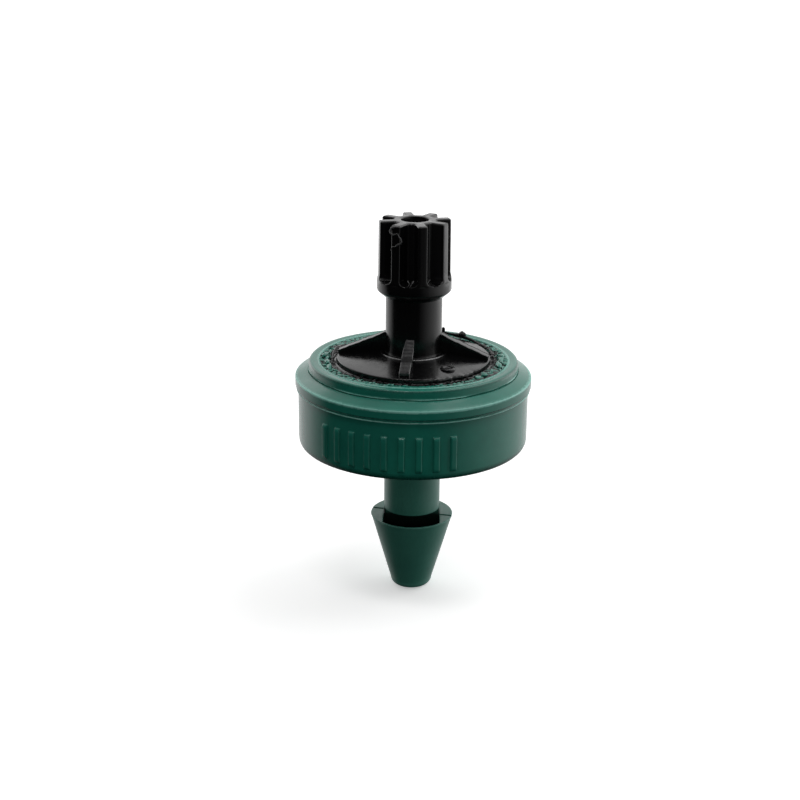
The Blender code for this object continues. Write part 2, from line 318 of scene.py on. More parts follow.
def moulded_group():
    """Moulded plastic: cloudy pigment, fine grain, scuffs and painted highlights on edges, painted shade in
    corners and dust specks.

    The cloud is slow noise, the grain a fast one, scuffs are stretched noise cut high,
    and the piece's edge attribute says where edges and inner corners are: edges take a lighter colour, partly
    wear and partly painted highlight, and inner corners a darker one, painted shade.
    """
    group, given, result = new_group(
        "Moulded plastic",
        [("Pigment", "NodeSocketColor", (0.1, 0.1, 0.1, 1.0)),
         ("Worn", "NodeSocketColor", (0.3, 0.3, 0.3, 1.0)),
         ("Dust", "NodeSocketColor", (0.5, 0.5, 0.5, 1.0)),
         ("Cloud", "NodeSocketFloat", 0.2),
         ("Wear", "NodeSocketFloat", 0.5),
         ("Dirt", "NodeSocketFloat", 0.3),
         ("Smooth", "NodeSocketFloat", 0.3),
         ("Rough", "NodeSocketFloat", 0.5)],
        [("Colour", "NodeSocketColor"), ("Roughness", "NodeSocketFloat"), ("Height", "NodeSocketFloat")])
    where = node(group, "ShaderNodeTexCoord").outputs["Object"]
    edge = node(group, "ShaderNodeAttribute", attribute_name="edge").outputs["Fac"]
    cloud = node(group, "ShaderNodeTexNoise",
                 {"Vector": where, "Scale": 420.0, "Detail": 4.0, "Roughness": 0.6}).outputs["Fac"]
    grain = node(group, "ShaderNodeTexNoise",
                 {"Vector": where, "Scale": 5200.0, "Detail": 3.0, "Roughness": 0.65}).outputs["Fac"]
    stretched = node(group, "ShaderNodeMapping",
                     {"Vector": where, "Scale": (1.0, 1.0, 0.35)}).outputs["Vector"]
    scuff = node(group, "ShaderNodeTexNoise",
                 {"Vector": stretched, "Scale": 2600.0, "Detail": 6.0, "Roughness": 0.72}).outputs["Fac"]
    speck = node(group, "ShaderNodeTexVoronoi", {"Vector": where, "Scale": 1500.0}).outputs["Distance"]

    darker = mix_colour(group, 1.0, given.outputs["Pigment"], (0.72, 0.76, 0.78), "MULTIPLY")
    lighter = mix_colour(group, 1.0, given.outputs["Pigment"], (1.30, 1.24, 1.22), "MULTIPLY")
    cloudy = mix_colour(group, ramp(group, cloud, [(0.3, 0.0), (0.7, 1.0)]), darker, lighter)
    pigment = mix_colour(group, given.outputs["Cloud"], given.outputs["Pigment"], cloudy)

    # Edges take the lighter colour, broken by scuffs: partly wear, partly painted highlight.
    ridge = math_node(group, "MAXIMUM", edge, 0.0)
    broken = math_node(group, "MULTIPLY", ridge, ramp(group, scuff, [(0.40, 0.50), (0.60, 1.0)]))
    wear_and_highlight = math_node(group, "MULTIPLY", broken, given.outputs["Wear"], clamp=True)
    worn_and_highlight = mix_colour(group, wear_and_highlight, pigment, given.outputs["Worn"])

    # Inner corners take the dark colour, painted shade; the rare dots are dust specks.
    corner = math_node(group, "MAXIMUM", math_node(group, "MULTIPLY", edge, -1.0), 0.0)
    dots = ramp(group, speck, [(0.05, 1.0), (0.12, 0.0)])
    settled = math_node(group, "MULTIPLY", ramp(group, cloud, [(0.45, 0.0), (0.75, 1.0)]), 0.12)
    rare = math_node(group, "MULTIPLY", dots, settled)
    corner_shade_and_specks = math_node(group, "ADD", corner, rare)
    dust_and_shade = math_node(group, "MULTIPLY", corner_shade_and_specks, given.outputs["Dirt"], clamp=True)
    group.links.new(mix_colour(group, dust_and_shade, worn_and_highlight, given.outputs["Dust"]), result.inputs["Colour"])

    span = math_node(group, "SUBTRACT", given.outputs["Rough"], given.outputs["Smooth"])
    patch = ramp(group, scuff, [(0.35, 0.0), (0.7, 1.0)])
    varied = math_node(group, "ADD", math_node(group, "MULTIPLY", span, patch), given.outputs["Smooth"])
    extra = math_node(group, "MULTIPLY", math_node(group, "ADD", wear_and_highlight, dust_and_shade), 0.18)
    group.links.new(math_node(group, "ADD", varied, extra, clamp=True), result.inputs["Roughness"])

    fine = math_node(group, "MULTIPLY", grain, 0.35)
    group.links.new(math_node(group, "ADD", fine, cloud), result.inputs["Height"])
    return group


MOULDED = moulded_group()


def moulded(name, pigment, worn_and_highlight, dust_and_shade, cloud, wear_and_highlight, dirt_and_shade, smooth, rough, bump, **constants):
    """Principled plastic whose colour, roughness and bump come from the moulded group."""
    mat = bpy.data.materials.new(name)
    mat.use_nodes = True
    tree = mat.node_tree
    shader = tree.nodes["Principled BSDF"]
    look = tree.nodes.new("ShaderNodeGroup")
    look.node_tree = MOULDED
    given = (("Pigment", (*pigment, 1.0)), ("Worn", (*worn_and_highlight, 1.0)), ("Dust", (*dust_and_shade, 1.0)),
             ("Cloud", cloud), ("Wear", wear_and_highlight), ("Dirt", dirt_and_shade),
             ("Smooth", smooth), ("Rough", rough))
    for label, value in given:
        look.inputs[label].default_value = value
    tree.links.new(look.outputs["Colour"], shader.inputs["Base Color"])
    tree.links.new(look.outputs["Roughness"], shader.inputs["Roughness"])
    relief = node(tree, "ShaderNodeBump", {"Strength": bump, "Distance": 0.00003,
                                           "Height": look.outputs["Height"]})
    tree.links.new(relief.outputs["Normal"], shader.inputs["Normal"])
    shader.inputs["IOR"].default_value = 1.49
    for label, value in constants.items():
        shader.inputs[label].default_value = value
    return mat


# Each finish gives its pigment, then the lighter edge colour (partly wear, partly painted highlight), then
# the dark colour of painted shade in inner corners and of dust specks.
GREEN = moulded("green moulded plastic", (0.012, 0.165, 0.120), (0.20, 0.50, 0.42),
                (0.001, 0.014, 0.010),
                cloud=0.45, wear_and_highlight=0.80, dirt_and_shade=0.60, smooth=0.15, rough=0.27, bump=0.28)
# The barb's copy of the green plastic is rougher, and its pigment is lighter and greyer than the cup's: a
# painted sheen.
BARB_GREEN_WITH_SHEEN = moulded("hazy green moulded plastic", (0.050, 0.215, 0.165), (0.20, 0.50, 0.42),
                     (0.001, 0.010, 0.007),
                     cloud=0.45, wear_and_highlight=0.8, dirt_and_shade=0.6, smooth=0.30, rough=0.42, bump=0.30)
TORN_GREEN = moulded("torn green plastic", (0.009, 0.165, 0.118), (0.16, 0.48, 0.40), (0.001, 0.008, 0.006),
                     cloud=0.5, wear_and_highlight=0.5, dirt_and_shade=1.0, smooth=0.12, rough=0.30, bump=0.2)
BLACK = moulded("black moulded plastic", (0.0028, 0.0028, 0.0031), (0.45, 0.45, 0.455), (0.002, 0.002, 0.002),
                cloud=0.4, wear_and_highlight=0.075, dirt_and_shade=0.3, smooth=0.12, rough=0.28, bump=0.26)
TORN_BLACK = moulded("torn black plastic", (0.0025, 0.0025, 0.0028), (0.03, 0.03, 0.031),
                     (0.001, 0.002, 0.002),
                     cloud=0.5, wear_and_highlight=0.35, dirt_and_shade=0.5, smooth=0.15, rough=0.36, bump=0.25,
                     **{"Specular IOR Level": 0.22})
BURR = moulded("stretched black plastic", (0.045, 0.045, 0.046), (0.14, 0.14, 0.142), (0.01, 0.01, 0.01),
               cloud=0.5, wear_and_highlight=0.8, dirt_and_shade=0.1, smooth=0.15, rough=0.30, bump=0.2)
INSERT = moulded("insert plastic", (0.045, 0.045, 0.050), (0.15, 0.15, 0.16), (0.10, 0.10, 0.10),
                 cloud=0.4, wear_and_highlight=0.2, dirt_and_shade=0.1, smooth=0.40, rough=0.55, bump=0.3)
SILICONE = moulded("silicone rubber", (0.60, 0.58, 0.54), (0.70, 0.68, 0.64), (0.45, 0.43, 0.40),
                   cloud=0.3, wear_and_highlight=0.1, dirt_and_shade=0.1, smooth=0.42, rough=0.55, bump=0.2)


# ================================== housing ==================================
# Painted highlight lines along the bead under the flange, the flange's top edge, the mouth's lip and the
# ring's top and foot: (r, z, reach, strength) added to the edge value.
HIGHLIGHT_LINES = [(WALL_R + 0.12, WALL_TOP_Z + 0.05, 0.05, 3.0), (FLANGE_R - 0.02, 4.80, 0.05, 5.0),
                (MOUTH_R + 0.12, RING_TOP_Z - 0.01, 0.06, 2.0), (RING_R - 0.14, RING_TOP_Z - 0.03, 0.07, 1.0),
                (RING_R + 0.02, 5.27, 0.04, 3.5)]


def housing_cup():
    """Cup, flange and mouth ring: one turned shell round the bore.

    A bead thinner than a hair runs under the flange and another at the ring's foot,
    and slow waves in radius and height keep the moulding from looking machined.
    """
    corners = [
        (INLET_R, 0.0, 0.02), (WALL_R, 0.0, 0.55), (WALL_R, WALL_TOP_Z, 0.05),
        (WALL_R + 0.13, WALL_TOP_Z + 0.02, 0.03), (WALL_R + 0.13, WALL_TOP_Z + 0.07, 0.04),
        (WALL_R + 0.03, WALL_TOP_Z + 0.18, 0.01), (FLANGE_R, WALL_TOP_Z + 0.27, 0.05),
        (FLANGE_R, FLANGE_TOP_Z, 0.07), (RING_R + 0.06, RING_FOOT_Z, 0.02), (RING_R - 0.05, 5.16, 0.02),
        (RING_R - 0.02, 5.24, 0.02), (RING_R + 0.02, 5.27, 0.03), (RING_R, 5.34, 0.03),
        (RING_R, RING_TOP_Z, 0.30), (MOUTH_R + 0.22, RING_TOP_Z - 0.05, 0.04),
        (MOUTH_R + 0.14, RING_TOP_Z, 0.04), (MOUTH_R, RING_TOP_Z - 0.10, 0.04),
        (MOUTH_R, COVER_LEDGE_Z, 0.02), (INSERT_BAY_R, COVER_LEDGE_Z, 0.02),
        (INSERT_BAY_R, SEAT_LEDGE_Z, 0.02), (CHAMBER_R, SEAT_LEDGE_Z, 0.02),
        (CHAMBER_R, CHAMBER_FLOOR_Z, 0.02), (INLET_R, CHAMBER_FLOOR_Z, 0.04),
    ]

    def moulding_error(t, r, z):
        outside = np.clip((r - 6.0) / 1.0, 0.0, 1.0)
        bead = np.exp(-((z - WALL_TOP_Z - 0.10) / 0.06) ** 2) + np.exp(-((z - 5.25) / 0.06) ** 2)
        lean = (ripple(t, [(2, 0.010), (5, 0.006)], 3) - 0.018) * outside
        thin = ripple(t, [(3, 0.02), (7, 0.02), (17, 0.012)], 4) * bead * outside
        lift = ripple(t, [(2, 0.010), (3, 0.008), (9, 0.004)], 5) * outside
        return lean + thin, lift * np.clip(z - 3.0, 0.0, 1.0)

    points, faces, edges = lathe(corners, around(380), arc_points=6, side_points=4, shift=moulding_error)
    r, z = np.hypot(points[:, 0], points[:, 1]), points[:, 2]
    # Painted highlights: these lines get the lighter edge colour.
    for line_r, line_z, reach, strength in HIGHLIGHT_LINES:
        edges = edges + strength * np.exp(-((r - line_r) ** 2 + (z - line_z) ** 2) / reach ** 2)
    return points, faces, edges


def stem():
    """Plain round stem: a turned shell round the bore, flared where it meets the cup."""
    corners = [(INLET_R, STEM_END_Z, 0.04), (STEM_R, STEM_END_Z, 0.05), (STEM_R, -0.12, 0.08),
               (STEM_R + 0.10, 0.05, 0.02), (INLET_R, 0.05, 0.02)]
    return lathe(corners, around(180), arc_points=6, side_points=8)


def barb_angles():
    """Angles of the barb's columns, much closer where the mould's parting line crosses."""
    fine = math.radians(7.0)
    seam = np.linspace(-fine, fine, 70)
    flank = np.linspace(fine, math.pi - fine, 130)[1:-1]
    return np.concatenate([seam, flank, seam + math.pi, flank + math.pi])


def barb():
    """Arrowhead with a stem-wide pocket on each side of a central web.

    A polar grid whose rows follow the pocket: web edge min(stem, w/|sin t|), pocket's
    far edge min(cone less lip, stem/|cos t|), then the shoulder, the rim and the cone.
    """
    t = barb_angles() + FRONT_TURN
    sine, cosine = np.abs(np.sin(t - INLET_TURN)) + 1e-9, np.abs(np.cos(t - INLET_TURN)) + 1e-9
    web = np.minimum(STEM_R - 0.01, WEB_HALF / sine)
    open_side = np.abs(np.arctan2(sine, cosine)) > math.atan2(WEB_HALF, STEM_R)
    lip = np.minimum(BARB_R - POCKET_LIP, (STEM_R + 0.01) / cosine)
    lip = np.maximum(lip, web + 0.02)
    tip_turn_z = TIP_Z + TIP_ROUND
    slope = (BARB_R - TIP_R) / (SHOULDER_Z - tip_turn_z)
    low_lip = np.minimum(lip, BARB_R - POCKET_LIP - slope * (SHOULDER_Z - POCKET_FLOOR_Z))
    floor = np.where(open_side, POCKET_FLOOR_Z, SHOULDER_Z)
    low_lip = np.where(open_side, low_lip, lip)
    full = np.ones_like(t)
    # The third value of each row is its edge value: the pocket's walls and floor are painted dark, painted
    # shade, and the lip, rim and tip rounding lighter, painted highlights.
    rows = [(0.0 * full, STEM_END_Z + 0.04 * full, 0.0), (web, STEM_END_Z + 0.04 * full, 0.0)]
    for share in (0.35, 0.7, 1.0):
        rows.append((web, STEM_END_Z + (floor - STEM_END_Z) * share, -2.0))
    rows += [(low_lip, floor, -2.0), (lip * 0.5 + low_lip * 0.5, (floor + SHOULDER_Z) / 2, -2.0)]
    rows += [(lip, (SHOULDER_Z - 0.04) * full, 0.2), (lip + 0.012, (SHOULDER_Z - 0.012) * full, 0.8),
             (lip + 0.035, SHOULDER_Z * full, 0.5)]
    rim = BARB_R - 0.05
    for share in (0.15, 0.3, 0.45, 0.6, 0.75, 0.9, 1.0):
        rows.append((lip + 0.035 + (rim - lip - 0.035) * share, SHOULDER_Z * full, 0.0))
    rows += [((BARB_R - 0.015) * full, (SHOULDER_Z - 0.012) * full, 0.9),
             (BARB_R * full, (SHOULDER_Z - 0.05) * full, 0.5)]
    for share in np.linspace(0.0, 1.0, 34)[1:]:
        z = SHOULDER_Z - 0.05 + (tip_turn_z - SHOULDER_Z + 0.05) * share
        rows.append(((TIP_R + slope * (z - tip_turn_z)) * full, z * full, 0.0))
    for angle in np.radians(np.linspace(10, 90, 9)):
        rows.append(((TIP_R - TIP_ROUND + TIP_ROUND * math.cos(angle)) * full,
                     (tip_turn_z - TIP_ROUND * math.sin(angle)) * full, 0.3 * math.sin(2 * angle)))
    rows.append((0.0 * full, TIP_Z * full, 0.0))
    r = np.array([row[0] for row in rows])
    z = np.array([row[1] for row in rows])
    edge = np.array([row[2] for row in rows])[:, None] * full
    x, y = r * np.cos(t), r * np.sin(t)
    across = y * math.cos(FRONT_TURN) - x * math.sin(FRONT_TURN)
    on_shoulder = np.exp(-((z - SHOULDER_Z) / 0.05) ** 2) * (r > STEM_R)
    groove = np.exp(-((across - PARTING_X) / PARTING_WIDTH) ** 2)
    half_step = 0.5 + 0.5 * np.tanh((PARTING_X - across) / 0.02)
    z = z - on_shoulder * (PARTING_DEPTH * groove + PARTING_STEP * half_step)
    # The parting groove on the shoulder is painted darker, a painted shade.
    edge = edge - on_shoulder * groove * 1.5
    seam = np.exp(-((across - PARTING_X) / 0.03) ** 2) * (z < SHOULDER_Z - 0.1) * (z > TIP_Z + 0.3)
    x = x + np.sign(x) * PARTING_RIDGE * seam
    return shell(np.stack([x, y, z], axis=-1), edge)


def mark_bars():
    """Nine plain upright raised bars on the wall, where a maker would put a mark.

    Each is a pillow on the wall: height h (1 - |u|^8)(1 - |v|^14) over a rounded
    rectangle, with its foot sunk under the wall's surface.
    """
    shells = []
    count, pitch, width, low, high, proud, sunk = 9, math.radians(8.3), 0.46, 0.62, 3.05, 0.16, 0.12
    u = np.linspace(-1.0, 1.0, 25)
    v = np.linspace(-1.0, 1.0, 49)
    for k in range(count):
        middle = FRONT_TURN - math.pi / 2 + (k - (count - 1) / 2) * pitch
        uu, vv = np.meshgrid(u, v, indexing="ij")
        swell = (1 - np.abs(uu) ** 8) * (1 - np.abs(vv) ** 14)
        outer_r = WALL_R - 0.03 + (proud + 0.03) * swell
        inner_r = WALL_R - sunk
        t = middle + uu * width / 2 / WALL_R
        z = (low + high) / 2 + vv * (high - low) / 2
        top = np.stack([outer_r * np.cos(t), outer_r * np.sin(t), z], axis=-1)
        bottom = np.stack([inner_r * np.cos(t), inner_r * np.sin(t), z], axis=-1)
        rings = [ring_of(top, inset) for inset in range(12, -1, -1)]
        rings += [ring_of(bottom, inset) for inset in range(0, 13)]
        shells.append(shell(np.array(rings)))
    return shells


def ring_of(sheet, inset):
    """Border loop of a grid, inset by some cells, resampled to the full border's count."""
    inner = sheet[inset:sheet.shape[0] - inset, inset:sheet.shape[1] - inset]
    loop = np.concatenate([inner[0, :-1] if inner.shape[1] > 1 else inner[0, :1],
                           inner[:-1, -1], inner[-1, ::-1][:-1], inner[::-1, 0][:-1]])
    want = 2 * (sheet.shape[0] + sheet.shape[1]) - 4
    at = np.linspace(0, len(loop), want, endpoint=False)
    closed = np.concatenate([loop, loop[:1]])
    return np.stack([np.interp(at, np.arange(len(closed)), closed[:, i]) for i in range(3)], axis=-1)


def degrees_from_front(t):
    """Angle of each point from the camera's side in degrees, -180 to 180, plus to the right."""
    return np.mod(np.degrees(t - VIEW_AZIMUTH) + 270.0, 360.0) - 180.0


# ================================ outlet cover ================================
def cover_turning():
    """Rim, crowned face and neck in one turned shell round the duct."""
    corners = [
        (DUCT_R, COVER_FOOT_Z, 0.03), (COVER_R, COVER_FOOT_Z, 0.03), (COVER_R, 5.70, 0.03),
        (FACE_R + 0.25, 5.66, 0.05), (FACE_R + 0.02, 5.72, 0.05), (FACE_R, FACE_EDGE_Z, 0.09),
        (NECK_R + 0.35, FACE_CENTRE_Z - 0.05, 0.03), (NECK_R + 0.32, FACE_CENTRE_Z, 0.03),
        (NECK_R + 0.03, FACE_CENTRE_Z + 0.01, 0.02), (NECK_R + 0.02, FACE_CENTRE_Z + 0.05, 0.02),
        (NECK_R, FACE_CENTRE_Z + 0.10, 0.03), (NECK_R, COLLAR_FOOT_Z + 0.3, 0.02),
        (DUCT_R, COLLAR_FOOT_Z + 0.3, 0.02),
    ]

    def sink(t, r, z):
        on_face = np.clip((r - 2.2) / 0.6, 0, 1) * np.clip((FACE_R + 0.3 - r) / 0.3, 0, 1)
        at_rim = np.exp(-((r - FACE_R) / 0.10) ** 2) * (z > COVER_FOOT_Z + 0.5)
        jagged = np.exp(-((degrees_from_front(t) - 32.0) / 24.0) ** 4)
        notches = ripple(t, [(17, 0.03), (37, 0.04), (71, 0.03)], 12)
        return at_rim * jagged * notches, on_face * ripple(t, [(2, 0.012), (3, 0.010), (6, 0.006)], 11)

    points, faces, edges = lathe(corners, around(540), arc_points=6, side_points=6, shift=sink)
    r = np.hypot(points[:, 0], points[:, 1])
    ahead = degrees_from_front(np.arctan2(points[:, 1], points[:, 0]))
    # Painted highlights: a bright arc on the step round the neck and a bright line along the face's front
    # rim, both in the lighter edge colour.
    neck_step_highlight = np.exp(-((r - NECK_R - 0.32) / 0.035) ** 2) * np.exp(-(ahead / 58.0) ** 8) * (points[:, 2] > 6.3)
    rim = np.exp(-((r - FACE_R) / 0.06) ** 2) * (points[:, 2] > 5.9) * np.exp(-((ahead - 32.0) / 24.0) ** 4)
    return points, faces, edges + 11.0 * neck_step_highlight + 4.0 * rim


def nose_loop(shrink, tip_r, closing):
    """Section of the fluted nose, the same number of points whatever its values.

    Corners of the lobes in polar form: core arc, root, straight side, tip arc.
    closing runs from 0, open grooves, to 1, where each groove's sides meet.
    """
    pitch = TAU / LOBES
    core, tip, half = LOBE_CORE_R - shrink, tip_r - shrink, LOBE_HALF - 0.8 * shrink
    root, corner = math.asin(half / core), math.asin(half / tip)
    lobe = [(-pitch / 2, core, 0.10), (-root, core, 0.14), (-corner, tip, 0.13), (-corner * 0.45, tip, 0.05),
            (corner * 0.45, tip, 0.05), (corner, tip, 0.13), (root, core, 0.14)]
    corners = []
    for k in range(LOBES):
        middle = pitch * (k + 0.5) + LOBE_TURN
        for angle, radius, rounding in lobe:
            wide = min(1.0, abs(angle) / corner)
            target = math.copysign(pitch / 2, angle) if angle else 0.0
            moved = angle + (target - angle) * closing * wide
            corners.append((radius * math.cos(middle + moved), radius * math.sin(middle + moved), rounding))
    return rounded_path(corners, arc_points=4, side_points=2)


def nose():
    """Collar and fluted nose: the section's loop is carried down the axis.

    Its top edge is a quarter round, its grooves end in a U above the collar, and the
    loop then opens to the collar's circle and closes back up the duct.
    """
    round_r = 0.13
    levels = []
    for angle in np.radians(np.linspace(0, 90, 6)):
        z, shrink = NOSE_TOP_Z - round_r * (1 - math.cos(angle)), round_r * (1 - math.sin(angle))
        levels.append((z, shrink, LOBE_R, 0.0))
    flare_z, u_top = LEDGE_Z + 0.42, LEDGE_Z + 0.34
    for z in np.linspace(NOSE_TOP_Z - round_r, flare_z, 16)[1:]:
        levels.append((z, 0.0, LOBE_R + 0.03 * (NOSE_TOP_Z - z) / (NOSE_TOP_Z - flare_z), 0.0))
    for q in np.linspace(0.0, 0.965, 12):
        z = u_top - (u_top - LEDGE_Z) * q
        flare = min(1.0, (flare_z - z) / 0.30)
        levels.append((z, 0.0, LOBE_R + 0.03 + (COLLAR_R - LOBE_R - 0.03) * flare, 1 - math.sqrt(1 - q * q)))
    rows, edges = [], []
    for z, shrink, tip_r, closing in levels:
        loop, bend = nose_loop(shrink, tip_r, closing)
        angles = np.arctan2(loop[:, 1], loop[:, 0])
        rows.append(np.column_stack([loop, np.full(len(loop), z)]))
        # Painted highlights: each groove's U end gets a bright arc, and the rounded top edge is a little
        # lighter; the edges of lobes facing the camera get less of the lighter edge colour, where they face
        # the dark front.
        front = np.exp(-((degrees_from_front(angles) + 9.0) / 18.0) ** 4)
        arch = 14.0 * np.maximum(bend, 0.0) * (closing > 0.10) * (closing < 0.8)
        edges.append(0.5 * (shrink > 0) + arch + bend * (1.0 - 0.9 * front * (shrink == 0)))
    top_angles = np.arctan2(rows[0][:, 1], rows[0][:, 0])

    def ring(radius, z, at):
        return np.column_stack([radius * np.cos(at), radius * np.sin(at), np.full(len(at), z)])

    below = [(COLLAR_R, LEDGE_Z - 0.02), (COLLAR_R + 0.005, LEDGE_Z - 0.12),
             (COLLAR_R + 0.005, COLLAR_LOW_Z + 0.10), (COLLAR_R - 0.03, COLLAR_LOW_Z),
             (COLLAR_R - 0.12, COLLAR_LOW_Z - 0.09), (NECK_R + 0.05, COLLAR_FOOT_Z + 0.02),
             (NECK_R - 0.1, COLLAR_FOOT_Z - 0.02), (DUCT_R, COLLAR_FOOT_Z - 0.02)]
    for radius, z in below:
        rows.append(ring(radius, z, angles))
        edges.append(np.zeros(len(angles)))
    inside = [(DUCT_R, COLLAR_FOOT_Z + 1.5), (DUCT_R, NOSE_TOP_Z - 1.5), (DUCT_R, NOSE_TOP_Z - 0.08),
              (DUCT_R + 0.02, NOSE_TOP_Z - 0.025), (DUCT_R + 0.07, NOSE_TOP_Z)]
    for radius, z in inside:
        rows.append(ring(radius, z, top_angles))
        edges.append(np.zeros(len(angles)))
    for share in (0.35, 0.7):
        start, end = ring(DUCT_R + 0.07, NOSE_TOP_Z, top_angles), rows[0]
        rows.append(start * (1 - share) + end * share)
        edges.append(np.zeros(len(angles)))
    return shell(np.array(rows), np.array(edges), wrap_rows=True)


def rib(angle, foot_r, top_z, seed, notch=None):
    """Triangular web: a rounded slab whose crest falls in a line from neck to face.

    Along the radius u, the section is a loop of foot, side, rounded crest, side.  The
    side ribs have a fine slit along the back of their crest.
    """
    in_neck, outside = np.linspace(NECK_R - 0.5, NECK_R + 0.1, 4), np.linspace(NECK_R + 0.2, foot_r, 30)
    radii = np.concatenate([in_neck, outside])
    buried = 5.85
    crest = np.interp(radii, [NECK_R, foot_r], [top_z, FACE_EDGE_Z + 0.26])
    crest = crest + 0.05 * np.exp(-((radii - NECK_R) / 0.18) ** 2)
    if notch:
        crest = crest - notch[1] * np.exp(-((radii - notch[0]) / 0.10) ** 4)
    wobble = ripple(radii * 2.0, [(3, 0.010), (7, 0.008)], seed)
    behind = math.copysign(1.0, math.cos(angle)) * (abs(math.cos(angle)) > 0.5)
    # The crest is painted lighter, a painted highlight: strongly and unevenly on the front and back ribs, a
    # little on the side ribs, whose rounded edges are lightened too.
    crest_highlight_levels = 0.45 if behind else 1.5 + ripple(radii * 7.0, [(3, 0.4), (7, 0.4)], seed)
    rows, edges = [], []
    for radius, high, swing, crest_highlight in zip(radii, crest, wobble, crest_highlight_levels + 0.0 * radii):
        face = FACE_EDGE_Z + (FACE_CENTRE_Z - FACE_EDGE_Z) * (FACE_R - radius) / (FACE_R - NECK_R)
        half = np.interp(radius, [NECK_R, NECK_R + 0.9, foot_r - 0.1, foot_r], [0.27, 0.36, 0.35, 0.31])
        top = high + swing
        slit = [(half - 0.18, top, 0.01), (half - 0.16, top - 0.10, 0.01), (half - 0.09, top - 0.10, 0.01),
                (half - 0.08, top, 0.01)] if behind else []
        section = [(-half - 0.02, buried), (-half - 0.01, face), (-half, top, 0.05), *slit, (half, top, 0.05),
                   (half + 0.01, face), (half + 0.02, buried)]
        loop, bend = rounded_path(section, arc_points=5, side_points=3)
        across, up = loop[:, 0] * (behind or 1.0), loop[:, 1]
        x = radius * math.cos(angle) - across * math.sin(angle)
        y = radius * math.sin(angle) + across * math.cos(angle)
        rows.append(np.column_stack([x, y, up]))
        edges.append(crest_highlight * (up > top - 0.04) + 0.3 * abs(behind) * np.maximum(bend, 0.0))
    return capped(rows, edges)


def capped(rows, edges):
    """Shell from loops with both ends closed to their middles."""
    first, last = rows[0].mean(axis=0), rows[-1].mean(axis=0)
    rows = [np.broadcast_to(first, rows[0].shape)] + rows + [np.broadcast_to(last, rows[0].shape)]
    edges = [edges[0] * 0] + edges + [edges[0] * 0]
    return shell(np.array(rows), np.array(edges))


# ================================ weld and torn plastic ================================
def random_sheet(t, v, around_count, across_count, seed):
    """Random heights over angle t and share v: a coarse random grid, joined in straight lines."""
    knots = np.random.default_rng(seed).normal(0.0, 1.0, (across_count, around_count))
    at_t = np.mod(t / TAU, 1.0) * around_count
    at_v = v * (across_count - 1)
    column, row = at_t.astype(int), np.minimum(at_v.astype(int), across_count - 2)
    along, up = at_t - column, at_v - row
    beside = (column + 1) % around_count
    low = knots[row, column % around_count] * (1 - along) + knots[row, beside] * along
    high = knots[row + 1, column % around_count] * (1 - along) + knots[row + 1, beside] * along
    return low * (1 - up) + high * up


def torn_share(t):
    """How torn the weld is at an angle: little at front and back, much at both sides."""
    return 0.22 + 0.78 * np.abs(np.cos(t - VIEW_AZIMUTH)) ** 1.5


def rough_band(inner_r, outer_r, low_z, crest_z, seed, teeth, jag, lump, columns=1080, rows=18):
    """Ring of squeezed-out plastic: a low arch between two radii, roughened.

    Height is sin(pi v)^0.6 times a random sheet, and the outer border is a row of
    random teeth.
    """
    t = around(columns)[None, :] + np.zeros((rows, 1))
    v = np.linspace(0.0, 1.0, rows)[:, None] + 0.0 * t
    border = outer_r + jag * random_sheet(t, 0.0 * v, teeth, 2, seed)
    r = inner_r + (border - inner_r) * v
    arch = np.sin(math.pi * v) ** 0.6
    lumps = random_sheet(t, v, 2 * teeth, 4, seed + 1) + 0.25 * random_sheet(t, v, 5 * teeth, 8, seed + 2)
    z = low_z + (crest_z - low_z) * arch * (1.0 + lump * torn_share(t) * lumps)
    # Painted light: high lumps get the lighter colour, a painted highlight, and low ones the dark colour, a
    # painted shade.
    edge = np.clip(lumps * 0.35, -0.7, 0.5) * arch * torn_share(t)
    top = np.stack([r * np.cos(t), r * np.sin(t), z], axis=-1)
    under = np.stack([r * np.cos(t), r * np.sin(t), np.full_like(r, low_z - 0.12)], axis=-1)[::-1]
    return shell(np.concatenate([top, under]), np.concatenate([edge, 0 * edge]), wrap_rows=True)


